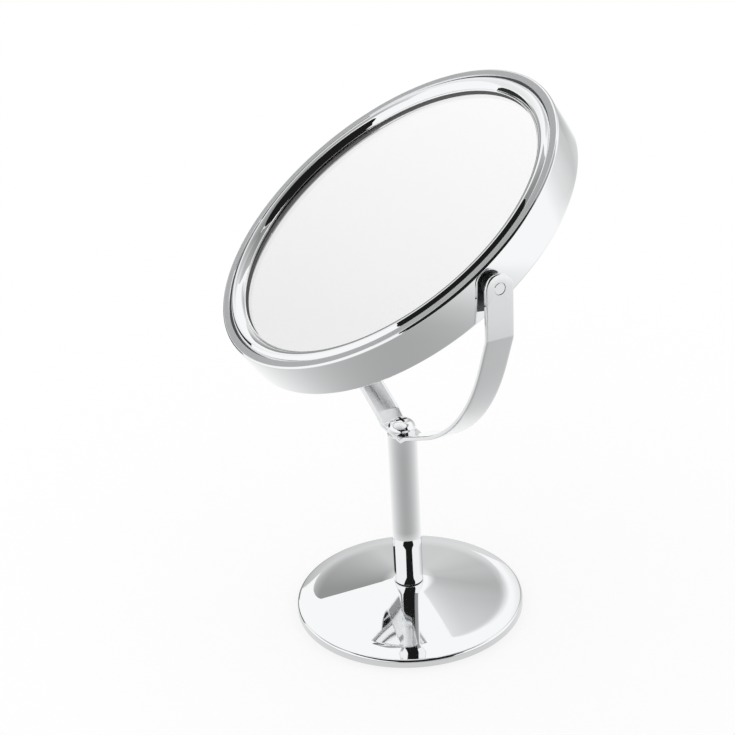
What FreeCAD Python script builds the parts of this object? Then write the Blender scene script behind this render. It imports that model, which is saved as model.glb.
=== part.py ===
import FreeCAD, Part
import math
import os

from FreeCAD import Rotation, Vector

# A double-sided table mirror: a weighted round base, a tubular post, a bent strap yoke,
# and a round head that tilts between the yoke's arms. Millimetres and degrees.
# Z is up, the table is Z = 0, the post stands on the Z axis and the tilt axis runs along X.

# Base: pressed steel shell over a cast weight, on a felt pad
BASE_DIAMETER = 75.0
SHELL_WALL = 1.0
SKIRT_LIFT = 0.4
RIM_HEIGHT = 3.0
RIM_WIDTH = 6.0
SHOULDER_ROUND = 0.9
DISH_RISE = 5.3
DISH_EASE = 2.1
CROWN_REACH = 3.85
CROWN_RISE = 0.5
CROWN_SAG = 0.1
BOSS_THICKNESS = 1.6
PAD_THICKNESS = 1.2
PAD_INSET = 0.6
WEIGHT_GAP = 0.3
RECESS_RADIUS = 6.2

# Post: steel tube with a threaded insert pressed in at each end
POST_DIAMETER = 9.5
POST_WALL = 1.0
POST_LENGTH = 54.5
POST_LAND = 0.4
INSERT_LENGTH = 13.0
INSERT_FIT = 0.02

# Bolt from below, with its plain and spring washers
BOLT_RADIUS = 2.5
BOLT_HEAD_RADIUS = 4.4
BOLT_HEAD_HEIGHT = 2.4
BOLT_HEAD_ROUND = 1.0
BOLT_GRIP = 8.5
BOLT_KEY_FLATS = 3.0
BOLT_KEY_DEPTH = 1.3
THREAD_FIT = 0.05
HOLE_CLEARANCE = 0.25
PLAIN_WASHER_RADIUS = 5.0
PLAIN_WASHER_THICKNESS = 0.8
SPRING_WASHER_RADIUS = 4.3
SPRING_WASHER_THICKNESS = 1.0
SPRING_WASHER_SLIT = 0.8

# Pan head screw that clamps the yoke on the post
SCREW_RADIUS = 2.5
SCREW_HEAD_RADIUS = 4.5
SCREW_HEAD_HEIGHT = 3.3
SCREW_HEAD_SIDE = 1.2
SCREW_LENGTH = 12.0
CROSS_LENGTH = 5.0
CROSS_WIDTH = 1.1
CROSS_DEPTH = 1.7

# Yoke: one steel strap bent to a U
STRAP_WIDTH = 8.4
STRAP_THICKNESS = 1.3
STRAP_EDGE_ROUND = 0.35
ARM_GAP = 2.0
ARM_STRAIGHT = 14.3
ARM_BEND_RUN = 0.4
KNEE_CLEARANCE = 8.3
KNEE_ANGLE = 45.2
KNEE_BEND_RUN = 26.5
STEP_RUN = 3.4
STEP_RISE = 2.4
STEP_BEND_RUN = 0.3
SEAT_HALF_LENGTH = 6.5
SEAT_BEND_RUN = 0.4
SWING_CLEARANCE = 5.3

# Head band: rolled strip with both edges turned in
BAND_RADIUS = 58.8
BAND_WIDTH = 12.0
BAND_WALL = 0.8
BAND_CORNER = 0.7
BAND_FLANGE = 2.6
FACE_ANGLE = 35.1

# Bezels: pressed bead rings held under the band's flanges
BEZEL_GROOVE = 0.4
BEZEL_WALL = 0.7
BEZEL_FIT = 0.3
BEAD_WIDTH = 4.3
BEAD_PROUD = 0.4
BEAD_OUTER_SAG = 0.45
BEAD_INNER_ROUND = 1.4

# Glasses and what packs them apart
GLASS_RECESS = 1.8
GLASS_THICKNESS = 2.0
GLASS_OVERLAP = 3.0
MAGNIFIER_CURVE = 700.0
BOARD_THICKNESS = 1.2
BOARD_INSET = 0.5
FOAM_WIDTH = 9.0

# Tilt pivots: a stud each side, with a backing plate inside the band and a bush outside it
STUD_RADIUS = 1.7
STUD_FIT = 0.05
STUD_CHAMFER = 0.2
STUD_HEAD_RADIUS = 3.0
STUD_HEAD_THICKNESS = 1.0
PLATE_THICKNESS = 1.0
PLATE_LENGTH = 12.0
PLATE_WIDTH = 7.0
PLATE_FIT = 0.02
BUSH_RADIUS = 3.2
BUSH_FIT = 0.05

# Places that follow from the sizes above
BASE_RADIUS = BASE_DIAMETER / 2
POST_RADIUS = POST_DIAMETER / 2
BOSS_RADIUS = POST_RADIUS + POST_LAND
CROWN_RADIUS = BOSS_RADIUS + CROWN_REACH
DISH_RADIUS = BASE_RADIUS - RIM_WIDTH
DISH_TOP = RIM_HEIGHT + DISH_RISE
POST_FOOT = DISH_TOP + CROWN_RISE
POST_TOP = POST_FOOT + POST_LENGTH
BOSS_CEILING = POST_FOOT - BOSS_THICKNESS
WASHER_SEAT = PAD_THICKNESS + WEIGHT_GAP + BOLT_HEAD_HEIGHT + SPRING_WASHER_THICKNESS + PLAIN_WASHER_THICKNESS
SEAT_TOP = POST_TOP + STRAP_THICKNESS
SWEEP_RADIUS = math.hypot(BAND_RADIUS, BAND_WIDTH / 2)
PIVOT_HEIGHT = SEAT_TOP + SCREW_HEAD_HEIGHT + SWING_CLEARANCE + SWEEP_RADIUS
ARM_INNER = BAND_RADIUS + ARM_GAP
BAND_INNER = BAND_RADIUS - BAND_WALL
FLANGE_INNER = BAND_RADIUS - BAND_FLANGE
FACE = BAND_WIDTH / 2
FLANGE_UNDER = FACE - BAND_WALL
GLASS_FACE = FACE - GLASS_RECESS
BEAD_OUTER = FLANGE_INNER - BEZEL_GROOVE
BEAD_INNER = BEAD_OUTER - BEAD_WIDTH
GLASS_RADIUS = BEAD_INNER + GLASS_OVERLAP
PLATE_FACE = BAND_INNER - PLATE_THICKNESS

ORIGIN = Vector(0, 0, 0)
UP = Vector(0, 0, 1)
ALONG_X = Vector(1, 0, 0)
QUARTER_SAG = 1 - math.cos(math.radians(45))


class Outline:
    """A closed outline in the XZ plane, drawn point by point."""

    def __init__(self, x, z):
        self.start = Vector(x, 0, z)
        self.here = self.start
        self.edges = []

    def line(self, x, z):
        """Draws a straight line to a point."""
        there = Vector(x, 0, z)
        self.edges.append(Part.makeLine(self.here, there))
        self.here = there
        return self

    def arc(self, x, z, sag):
        """Draws an arc to a point, bulging by sag to the left of the way there."""
        there = Vector(x, 0, z)
        way = there - self.here
        left = Vector(-way.z, 0, way.x).normalize()
        middle = (self.here + there) * 0.5 + left * sag
        self.edges.append(Part.Arc(self.here, middle, there).toShape())
        self.here = there
        return self

    def face(self):
        """Closes the outline and fills it."""
        if self.here.distanceToPoint(self.start) > 1e-9:
            self.line(self.start.x, self.start.z)
        return Part.Face(Part.Wire(self.edges))

    def spin(self):
        """Turns the filled outline about the Z axis into a solid."""
        return self.face().revolve(ORIGIN, UP, 360)


def disc(radius, low, high):
    """A round solid on the Z axis between two heights."""
    return Part.makeCylinder(radius, high - low, Vector(0, 0, low))


def washer(radius, hole, low, high):
    """A flat ring on the Z axis between two heights."""
    return disc(radius, low, high).cut(disc(hole, low, high))


def rod(radius, near, far):
    """A round solid along +X between two distances from the Z axis."""
    return Part.makeCylinder(radius, far - near, Vector(near, 0, 0), ALONG_X)


def block(x_size, y_size, low, high):
    """A box centred on the Z axis between two heights."""
    return Part.makeBox(x_size, y_size, high - low, Vector(-x_size / 2, -y_size / 2, low))


def under_shell(gap, floor):
    """The space under the base shell, drawn in by a gap from its underside, down to a floor."""
    drop = SHELL_WALL + gap
    edge = BASE_RADIUS - drop
    outline = Outline(0, floor).line(edge, floor).line(edge, RIM_HEIGHT - drop)
    outline.line(DISH_RADIUS, RIM_HEIGHT - drop).line(CROWN_RADIUS, DISH_TOP - drop)
    outline.line(BOSS_RADIUS - SHELL_WALL - gap, BOSS_CEILING).line(0, BOSS_CEILING)
    return outline.spin()


def base_shell():
    """Dished shell: skirt, rounded shoulder, flat rim, straight dish and a low crown under the post."""
    shoulder = RIM_HEIGHT - SHOULDER_ROUND
    slope = math.atan2(DISH_RISE, DISH_RADIUS - CROWN_RADIUS)
    ease = (DISH_RADIUS - DISH_EASE * math.cos(slope), RIM_HEIGHT + DISH_EASE * math.sin(slope))
    outline = Outline(0, SKIRT_LIFT).line(BASE_RADIUS, SKIRT_LIFT).line(BASE_RADIUS, shoulder)
    outline.arc(BASE_RADIUS - SHOULDER_ROUND, RIM_HEIGHT, -SHOULDER_ROUND * QUARTER_SAG)
    outline.line(DISH_RADIUS + DISH_EASE, RIM_HEIGHT)
    outline.arc(*ease, DISH_EASE * math.cos(slope / 2) * math.tan(slope / 4)).line(CROWN_RADIUS, DISH_TOP)
    outline.arc(BOSS_RADIUS, POST_FOOT, -CROWN_SAG).line(0, POST_FOOT)
    hole = disc(BOLT_RADIUS + HOLE_CLEARANCE, 0, POST_FOOT)
    return outline.spin().cut(under_shell(0, 0)).cut(hole)


def base_weight():
    """Cast disc that fills the shell and takes the bolt's clamp at the boss."""
    recess = disc(RECESS_RADIUS, 0, WASHER_SEAT)
    hole = disc(BOLT_RADIUS + HOLE_CLEARANCE, 0, POST_FOOT)
    return under_shell(WEIGHT_GAP, PAD_THICKNESS).cut(recess).cut(hole)


def base_pad():
    """Felt disc that the mirror stands on."""
    return disc(BASE_RADIUS - SHELL_WALL - PAD_INSET, 0, PAD_THICKNESS)


def base_bolt():
    """Button head bolt with a hexagon socket, from the weight's recess up into the post."""
    low = PAD_THICKNESS + WEIGHT_GAP
    seat = low + BOLT_HEAD_HEIGHT
    head = disc(BOLT_HEAD_RADIUS, low, seat)
    rim = [edge for edge in head.Edges if abs(edge.BoundBox.ZMax - low) < 1e-6]
    head = head.makeFillet(BOLT_HEAD_ROUND, rim)
    shank = disc(BOLT_RADIUS, seat, POST_FOOT + BOLT_GRIP)
    corner = Vector(BOLT_KEY_FLATS / math.sqrt(3), 0, low)
    corners = [Rotation(UP, 60 * k).multVec(corner) for k in range(7)]
    socket = Part.Face(Part.makePolygon(corners)).extrude(UP * BOLT_KEY_DEPTH)
    return head.fuse(shank).cut(socket).removeSplitter()


def base_spring_washer():
    """Split ring between the bolt's head and the plain washer."""
    high = WASHER_SEAT - PLAIN_WASHER_THICKNESS
    low = high - SPRING_WASHER_THICKNESS
    ring = washer(SPRING_WASHER_RADIUS, BOLT_RADIUS + HOLE_CLEARANCE, low, high)
    slit = Part.makeBox(SPRING_WASHER_RADIUS, SPRING_WASHER_SLIT, SPRING_WASHER_THICKNESS,
                        Vector(0, -SPRING_WASHER_SLIT / 2, low))
    return ring.cut(slit)


def base_plain_washer():
    """Flat ring that spreads the bolt's clamp on the weight."""
    low = WASHER_SEAT - PLAIN_WASHER_THICKNESS
    return washer(PLAIN_WASHER_RADIUS, BOLT_RADIUS + HOLE_CLEARANCE, low, WASHER_SEAT)


def post_tube():
    """Straight tube from the base's boss to the yoke's seat."""
    return washer(POST_RADIUS, POST_RADIUS - POST_WALL, POST_FOOT, POST_TOP)


def post_insert(low, thread_radius):
    """Threaded plug pressed into one end of the tube, starting at a height."""
    outside = POST_RADIUS - POST_WALL - INSERT_FIT
    return washer(outside, thread_radius + THREAD_FIT, low, low + INSERT_LENGTH)


def strap_corners(offset):
    """Corners of the strap's inner face, or of a line outside it by an offset, right tip to left tip."""
    knee_radius = SWEEP_RADIUS + KNEE_CLEARANCE
    knee = math.radians(KNEE_ANGLE)
    half = [
        (ARM_INNER, PIVOT_HEIGHT + STRAP_WIDTH / 2),
        (ARM_INNER, PIVOT_HEIGHT - ARM_STRAIGHT),
        (knee_radius * math.cos(knee), PIVOT_HEIGHT - knee_radius * math.sin(knee)),
        (SEAT_HALF_LENGTH + STEP_RUN, SEAT_TOP + STEP_RISE),
        (SEAT_HALF_LENGTH, SEAT_TOP),
    ]
    corners = half + [(-x, z) for x, z in reversed(half)]
    headings = [math.atan2(b[1] - a[1], b[0] - a[0]) for a, b in zip(corners, corners[1:])]
    headings = [headings[0]] + headings + [headings[-1]]
    moved = []
    for (x, z), before, after in zip(corners, headings, headings[1:]):
        middle = before + math.remainder(after - before, math.tau) / 2
        reach = offset / math.cos(after - middle)
        moved.append(Vector(x - reach * math.sin(middle), 0, z + reach * math.cos(middle)))
    return moved


def strap_edges(offset):
    """Straight runs and round bends of the strap's inner face, or of a line outside it by an offset."""
    runs = [ARM_BEND_RUN, KNEE_BEND_RUN, STEP_BEND_RUN, SEAT_BEND_RUN]
    runs = runs + runs[::-1]
    corners = strap_corners(offset)
    outline = Outline(corners[0].x, corners[0].z)
    for before, corner, after, run in zip(corners, corners[1:], corners[2:], runs):
        arrive = (corner - before).normalize()
        leave = (after - corner).normalize()
        half_turn = arrive.getAngle(leave) / 2
        inwards = 1 if arrive.cross(leave).y > 0 else -1
        radius = run / math.tan(half_turn) + (offset if inwards > 0 else STRAP_THICKNESS - offset)
        reach = radius * math.tan(half_turn)
        bend_start = corner - arrive * reach
        bend_end = corner + leave * reach
        outline.line(bend_start.x, bend_start.z)
        outline.arc(bend_end.x, bend_end.z, inwards * radius * (1 - math.cos(half_turn)))
    outline.line(corners[-1].x, corners[-1].z)
    return outline.edges


def yoke_strap():
    """Strap bent to a U, with round ends at the pivots and a stepped flat seat on the post."""
    inner = strap_edges(0)
    outer = strap_edges(STRAP_THICKNESS)
    tip_lines = [Part.makeLine(a, b) for a, b in zip(ends(inner), ends(outer))]
    strap = strip(Part.Wire(Part.sortEdges(inner + outer + tip_lines)[0]), STRAP_WIDTH)
    span = 2 * (ARM_INNER + STRAP_THICKNESS)
    pivot = Vector(-span / 2, 0, PIVOT_HEIGHT)
    tips = Part.makeCylinder(STRAP_WIDTH / 2, span, pivot, ALONG_X)
    below = block(span, STRAP_WIDTH, 0, PIVOT_HEIGHT)
    strap = strap.common(tips.fuse(below)).removeSplitter()
    strap = strap.makeFillet(STRAP_EDGE_ROUND, strap_side_edges(strap))
    pivot_holes = Part.makeCylinder(STUD_RADIUS + STUD_FIT, span, pivot, ALONG_X)
    screw_hole = disc(SCREW_RADIUS + HOLE_CLEARANCE, POST_TOP, SEAT_TOP)
    return strap.cut(pivot_holes).cut(screw_hole)


def ends(edges):
    """The first and last points of edges drawn in a row."""
    return edges[0].valueAt(edges[0].FirstParameter), edges[-1].valueAt(edges[-1].LastParameter)


def strip(wire, width):
    """Fills a closed wire in the XZ plane and stretches it along Y into a solid centred on that plane."""
    face = Part.Face(wire)
    face.translate(Vector(0, -width / 2, 0))
    return face.extrude(Vector(0, width, 0))


def strap_side_edges(strap):
    """Edges where the strap's sides and round tips meet its inner and outer faces."""
    edges = []
    for face in strap.Faces:
        flat_side = face.BoundBox.YLength < STRAP_THICKNESS / 2
        round_tip = isinstance(face.Surface, Part.Cylinder) and abs(face.Surface.Axis.x) > 0.5
        if flat_side or round_tip:
            edges.extend(face.Edges)
    return [edge for edge in edges if sum(edge.isSame(other) for other in edges) == 1]


def yoke_screw():
    """Pan head screw with a cross recess, through the strap's seat into the post."""
    top = SEAT_TOP + SCREW_HEAD_HEIGHT
    side = SEAT_TOP + SCREW_HEAD_SIDE
    dome_sag = -(SCREW_HEAD_HEIGHT - SCREW_HEAD_SIDE) * QUARTER_SAG
    outline = Outline(0, SEAT_TOP - SCREW_LENGTH).line(SCREW_RADIUS, SEAT_TOP - SCREW_LENGTH)
    outline.line(SCREW_RADIUS, SEAT_TOP).line(SCREW_HEAD_RADIUS, SEAT_TOP)
    outline.line(SCREW_HEAD_RADIUS, side).arc(CROSS_WIDTH, top, dome_sag).line(0, top)
    floor = top - CROSS_DEPTH
    cross = block(CROSS_LENGTH, CROSS_WIDTH, floor, top).fuse(block(CROSS_WIDTH, CROSS_LENGTH, floor, top))
    return outline.spin().cut(cross).removeSplitter()


def head_band():
    """Rolled band with its front and back edges turned in, and a hole each side for the studs."""
    corner_sag = -BAND_CORNER * QUARTER_SAG
    outline = Outline(FLANGE_INNER, -FACE).line(BAND_RADIUS - BAND_CORNER, -FACE)
    outline.arc(BAND_RADIUS, BAND_CORNER - FACE, corner_sag).line(BAND_RADIUS, FACE - BAND_CORNER)
    outline.arc(BAND_RADIUS - BAND_CORNER, FACE, corner_sag).line(FLANGE_INNER, FACE)
    outline.line(FLANGE_INNER, FLANGE_UNDER).line(BAND_INNER, FLANGE_UNDER)
    outline.line(BAND_INNER, -FLANGE_UNDER).line(FLANGE_INNER, -FLANGE_UNDER)
    holes = rod(STUD_RADIUS + STUD_FIT, -BAND_RADIUS, BAND_RADIUS)
    return outline.spin().cut(holes)


def front_bezel():
    """Pressed ring: a hollow bead round the glass and a lip held under the band's flange."""
    crest = FACE + BEAD_PROUD
    outline = Outline(BEAD_INNER, GLASS_FACE).line(BEAD_OUTER, GLASS_FACE).line(BEAD_OUTER, FLANGE_UNDER)
    outline.arc(BEAD_INNER + BEAD_INNER_ROUND, crest, -BEAD_OUTER_SAG)
    outline.arc(BEAD_INNER, crest - BEAD_INNER_ROUND, BEAD_INNER_ROUND * -QUARTER_SAG)
    hollow = washer(BEAD_OUTER - BEZEL_WALL, BEAD_INNER + BEZEL_WALL, GLASS_FACE, FLANGE_UNDER)
    lip = washer(BAND_INNER - BEZEL_FIT, BEAD_OUTER - BEZEL_WALL, FLANGE_UNDER - BEZEL_WALL, FLANGE_UNDER)
    return outline.spin().cut(hollow).fuse(lip).removeSplitter()


def front_glass():
    """Plain mirror glass."""
    return disc(GLASS_RADIUS, GLASS_FACE - GLASS_THICKNESS, GLASS_FACE)


def magnifier_side(thickness):
    """A ball whose surface is the magnifying glass's hollow face, or lies further in by a thickness."""
    rim_height = math.sqrt(MAGNIFIER_CURVE ** 2 - GLASS_RADIUS ** 2)
    return Part.makeSphere(MAGNIFIER_CURVE + thickness, Vector(0, 0, -GLASS_FACE - rim_height))


def rear_glass():
    """Magnifying mirror glass, hollow towards the back."""
    blank = disc(GLASS_RADIUS, -GLASS_FACE, GLASS_FACE)
    return blank.common(magnifier_side(GLASS_THICKNESS)).cut(magnifier_side(0))


def backing_board():
    """Grey board behind the front glass."""
    back = GLASS_FACE - GLASS_THICKNESS
    return disc(GLASS_RADIUS - BOARD_INSET, back - BOARD_THICKNESS, back)


def foam_ring():
    """Foam that presses the board and the magnifying glass apart."""
    high = GLASS_FACE - GLASS_THICKNESS - BOARD_THICKNESS
    ring = washer(GLASS_RADIUS - BOARD_INSET, GLASS_RADIUS - BOARD_INSET - FOAM_WIDTH, -GLASS_FACE, high)
    return ring.cut(magnifier_side(GLASS_THICKNESS))


def pivot_stud():
    """Stud of the right pivot: a head inside the band and a shank that ends flush with the strap."""
    end = ARM_INNER + STRAP_THICKNESS
    shank = rod(STUD_RADIUS, PLATE_FACE, end)
    rim = [edge for edge in shank.Edges if edge.BoundBox.XMin > end - 1e-6]
    shank = shank.makeChamfer(STUD_CHAMFER, rim)
    return rod(STUD_HEAD_RADIUS, PLATE_FACE - STUD_HEAD_THICKNESS, PLATE_FACE).fuse(shank).removeSplitter()


def stud_plate():
    """Backing plate of the right pivot, flat inside and curved to the band outside."""
    plate = Part.makeBox(PLATE_THICKNESS, PLATE_LENGTH, PLATE_WIDTH,
                         Vector(PLATE_FACE, -PLATE_LENGTH / 2, -PLATE_WIDTH / 2))
    plate = plate.common(disc(BAND_INNER - PLATE_FIT, -PLATE_WIDTH, PLATE_WIDTH))
    return plate.cut(rod(STUD_RADIUS + STUD_FIT, PLATE_FACE, BAND_INNER))


def pivot_bush():
    """Nylon bush of the right pivot, cut to sit on the band and just clear of the strap."""
    face = ARM_INNER - BUSH_FIT
    bush = rod(BUSH_RADIUS, BAND_INNER, face).cut(rod(STUD_RADIUS + STUD_FIT, BAND_INNER, face))
    return bush.cut(disc(BAND_RADIUS, -BAND_WIDTH, BAND_WIDTH))


def stand():
    """Every piece that stays still, in place."""
    return {
        "base_shell": base_shell(),
        "base_weight": base_weight(),
        "base_pad": base_pad(),
        "base_bolt": base_bolt(),
        "base_spring_washer": base_spring_washer(),
        "base_plain_washer": base_plain_washer(),
        "post_tube": post_tube(),
        "post_foot_insert": post_insert(POST_FOOT, BOLT_RADIUS),
        "post_top_insert": post_insert(POST_TOP - INSERT_LENGTH, SCREW_RADIUS),
        "yoke_strap": yoke_strap(),
        "yoke_screw": yoke_screw(),
    }


def head():
    """Every piece that tilts, built flat with its front towards +Z, then set between the yoke's arms."""
    front = front_bezel()
    over = Rotation(ALONG_X, 180)
    pieces = {
        "head_band": head_band(),
        "front_bezel": front,
        "rear_bezel": turned(front, over),
        "front_glass": front_glass(),
        "rear_glass": rear_glass(),
        "backing_board": backing_board(),
        "foam_ring": foam_ring(),
    }
    across = Rotation(UP, 180)
    pivot_pieces = {"pivot_stud": pivot_stud(), "stud_plate": stud_plate(), "pivot_bush": pivot_bush()}
    for name, piece in pivot_pieces.items():
        pieces["right_" + name] = piece
        pieces["left_" + name] = turned(piece, across)
    tilt = Rotation(ALONG_X, FACE_ANGLE)
    place = Vector(0, 0, PIVOT_HEIGHT)
    return {name: turned(piece, tilt, place) for name, piece in pieces.items()}


def turned(shape, rotation, place=ORIGIN):
    """A copy of a shape, turned about the origin and then moved to a place."""
    copy = shape.copy()
    copy.Placement = FreeCAD.Placement(place, rotation).multiply(shape.Placement)
    return copy


def main():
    """Writes each piece to its own file."""
    os.makedirs("parts", exist_ok=True)
    for name, shape in {**stand(), **head()}.items():
        solid = shape.Solids[0]
        assert len(shape.Solids) == 1 and solid.isValid(), name
        solid.exportStep(os.path.join("parts", name + ".step"))
        print(f"{name:20s} {solid.Volume:10.1f} mm3")


main()
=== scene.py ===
"""Looks of a table mirror: weighted base, post, strap yoke and a double-sided round head that tilts."""

import logging
import math
from dataclasses import dataclass
from enum import Enum
from functools import cache

import bmesh
import bpy
from bmesh.types import BMEdge, BMesh, BMVert
from bpy.types import Material, Node, NodeSocket, NodeTree, Object
from mathutils import Matrix, Quaternion, Vector


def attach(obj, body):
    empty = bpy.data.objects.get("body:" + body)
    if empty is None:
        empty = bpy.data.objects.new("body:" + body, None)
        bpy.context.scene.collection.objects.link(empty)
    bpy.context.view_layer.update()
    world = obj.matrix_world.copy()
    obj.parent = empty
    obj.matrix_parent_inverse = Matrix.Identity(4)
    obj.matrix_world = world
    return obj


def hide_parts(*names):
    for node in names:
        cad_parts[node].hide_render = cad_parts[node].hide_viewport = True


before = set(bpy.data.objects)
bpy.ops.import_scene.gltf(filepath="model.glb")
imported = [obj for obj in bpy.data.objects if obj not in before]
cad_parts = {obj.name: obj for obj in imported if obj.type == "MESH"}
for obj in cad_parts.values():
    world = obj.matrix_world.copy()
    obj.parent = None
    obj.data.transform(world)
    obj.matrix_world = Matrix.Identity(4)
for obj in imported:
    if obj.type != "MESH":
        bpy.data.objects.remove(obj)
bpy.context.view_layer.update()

LOG = logging.getLogger("table_mirror")

Inputs = dict[str | int, object]

MM = 0.001
ACROSS = Vector((1.0, 0.0, 0.0))
DEPTH = Vector((0.0, 1.0, 0.0))
UP = Vector((0.0, 0.0, 1.0))
WELD = 1e-7
SHARP_ANGLE = math.radians(40.0)
QUARTER_SAG = 1.0 - math.cos(math.radians(45.0))
# A face looks in a direction where its normal has this share along it, and squarely with the second share.
FACING, SQUARE_ON = 0.5, 0.9
# Most of a noise's values lie in this span.
NOISE_SPAN = (0.3, 0.7)
# The Mix node's colour sockets, which share their names with its other sockets.
MIX_FIRST, MIX_SECOND, MIX_RESULT = 6, 7, 2
PIVOT_HEIGHT = 132.30533 * MM
HEAD_TILT = math.radians(35.1)


class Body(Enum):
    """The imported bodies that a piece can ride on."""

    STAND = "stand"
    HEAD = "mirror_head"


class Side(Enum):
    """The two pivots, by the sign of their X."""

    RIGHT = 1
    LEFT = -1


class Aspect(Enum):
    """The head's two faces, by the sign of their own axis."""

    FRONT = 1
    REAR = -1


def linear(colour: str) -> tuple[float, float, float, float]:
    """Turns an sRGB hex colour to linear values.

    Args:
        colour: six hex digits after a hash sign.

    Returns:
        Red, green, blue and an alpha of one.
    """
    channels = (int(colour[i : i + 2], 16) / 255 for i in (1, 3, 5))
    red, green, blue = (c / 12.92 if c <= 0.04045 else ((c + 0.055) / 1.055) ** 2.4 for c in channels)
    return red, green, blue, 1.0


def feed(tree: NodeTree, node: Node, inputs: Inputs) -> None:
    """Links or sets a node's inputs.

    Args:
        tree: the node's tree.
        node: the node.
        inputs: for each input, its constant, the socket that feeds it, or a node whose first output does.
    """
    for name, value in inputs.items():
        value = value.outputs[0] if isinstance(value, Node) else value
        if isinstance(value, NodeSocket):
            tree.links.new(value, node.inputs[name])
        else:
            node.inputs[name].default_value = value


def add(tree: NodeTree, kind: str, inputs: Inputs | None = None, **settings: object) -> Node:
    """Adds a node with its settings and links.

    Args:
        tree: the node tree that takes the node.
        kind: the node's type name after ShaderNode.
        inputs: as for feed.
        settings: the node's own properties.

    Returns:
        The new node.
    """
    node = tree.nodes.new("ShaderNode" + kind)
    for name, value in settings.items():
        setattr(node, name, value)
    feed(tree, node, inputs or {})
    return node


def empty_material(name: str) -> Material:
    """Makes a material without nodes.

    Args:
        name: its name.

    Returns:
        The material.
    """
    material = bpy.data.materials.new(name)
    material.use_nodes = True
    material.node_tree.nodes.clear()
    return material


def as_object(mesh: BMesh, name: str) -> Object:
    """Makes an object of a shape.

    Args:
        mesh: the shape; it is freed.
        name: the name of the object and its mesh.

    Returns:
        The object, in the scene.
    """
    data = bpy.data.meshes.new(name)
    mesh.to_mesh(data)
    mesh.free()
    made = bpy.data.objects.new(name, data)
    bpy.context.scene.collection.objects.link(made)
    return made


@dataclass(frozen=True)
class Grain:
    """A noise laid on a surface by its Object coordinates: its size along each axis and how fine it gets."""

    sizes: tuple[float, ...]
    detail: float
    distortion: float = 0.0

    def draw(self, tree: NodeTree, place: NodeSocket) -> Node:
        """Draws the noise.

        Args:
            tree: the material's node tree.
            place: the Object coordinates.

        Returns:
            The noise.
        """
        scaled = add(tree, "Mapping", {"Vector": place, "Scale": [1 / size for size in self.sizes]})
        return add(tree, "TexNoise", {
            "Vector": scaled, "Scale": 1.0, "Detail": self.detail, "Distortion": self.distortion})


@dataclass(frozen=True)
class Rings:
    """The rings that a lathe's tool leaves about the head's axis, as a noise along their radius."""

    height: float
    tilt: float
    pitch: float

    def draw(self, tree: NodeTree, place: NodeSocket) -> Node:
        """Draws the rings.

        Args:
            tree: the material's node tree.
            place: the Object coordinates.

        Returns:
            The noise.
        """
        local = add(tree, "Mapping", {
            "Vector": place, "Location": (0.0, 0.0, self.height), "Rotation": (self.tilt, 0.0, 0.0)},
            vector_type="TEXTURE")
        flat = add(tree, "VectorMath", {0: local, 1: (1.0, 1.0, 0.0)}, operation="MULTIPLY")
        radius = add(tree, "VectorMath", {0: flat}, operation="LENGTH")
        return add(tree, "TexNoise", {"W": radius.outputs["Value"], "Scale": 1 / self.pitch, "Detail": 2.0},
                   noise_dimensions="1D")


@dataclass(frozen=True)
class Finish:
    """A surface: what it is, its colour and how it shines.

    Its roughness runs over a range as the gloss's noise runs over a span, its relief is a noise of some depth, and
    its colour runs between two tones with the relief.
    """

    name: str
    colour: str
    roughness: float
    metallic: float = 0.0
    gloss: Grain | Rings | None = None
    gloss_span: tuple[float, float] = NOISE_SPAN
    gloss_range: tuple[float, float] = (0.0, 0.0)
    relief: Grain | Rings | None = None
    strength: float = 0.6
    depth: float = 0.0
    tones: tuple[str, ...] = ()
    others: tuple[tuple[str, float], ...] = ()

    @cache
    def material(self) -> Material:
        """Makes the material, once.

        Returns:
            The material.
        """
        material = empty_material(self.name)
        tree = material.node_tree
        shader = add(tree, "BsdfPrincipled", {
            "Base Color": linear(self.colour), "Roughness": self.roughness, "Metallic": self.metallic,
            **dict(self.others)})
        add(tree, "OutputMaterial", {"Surface": shader})
        place = add(tree, "TexCoord").outputs["Object"]
        drawn = {grain: grain.draw(tree, place) for grain in dict.fromkeys((self.gloss, self.relief)) if grain}
        if self.gloss:
            rough = add(tree, "MapRange", {
                "Value": drawn[self.gloss], "From Min": self.gloss_span[0], "From Max": self.gloss_span[1],
                "To Min": self.gloss_range[0], "To Max": self.gloss_range[1]})
            feed(tree, shader, {"Roughness": rough})
        if self.relief:
            bump = add(tree, "Bump", {
                "Height": drawn[self.relief], "Strength": self.strength, "Distance": self.depth})
            feed(tree, shader, {"Normal": bump})
        if self.tones:
            first, second = (linear(tone) for tone in self.tones)
            shade = add(tree, "Mix", {"Factor": drawn[self.relief], MIX_FIRST: first, MIX_SECOND: second},
                        data_type="RGBA")
            feed(tree, shader, {"Base Color": shade.outputs[MIX_RESULT]})
        material.diffuse_color = linear(self.colour)
        return material


def speckled(name: str, tones: tuple[str, str], roughness: float, metallic: float, size: float, depth: float) -> Finish:
    """Makes the finish of a matt or cast surface: a speckle of two tones and a fine relief."""
    return Finish(name, tones[0], roughness, metallic, relief=Grain((size,) * 3, 5.0), depth=depth, tones=tones)


# Chrome over buffed and nickelled steel. Buffing leaves the sheet very slightly wavy, so reflections are sharp but
# not quite true, and handling leaves a thin film in patches that is a little less glossy.
CHROME = Finish("Bright chrome plate", "#F6F7F8", 0.015, 1.0, Grain((16.0 * MM,) * 3, 4.0), (0.45, 0.75),
                (0.015, 0.05), Grain((7.0 * MM,) * 3, 1.0), 1.0, 0.0016 * MM)
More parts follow.
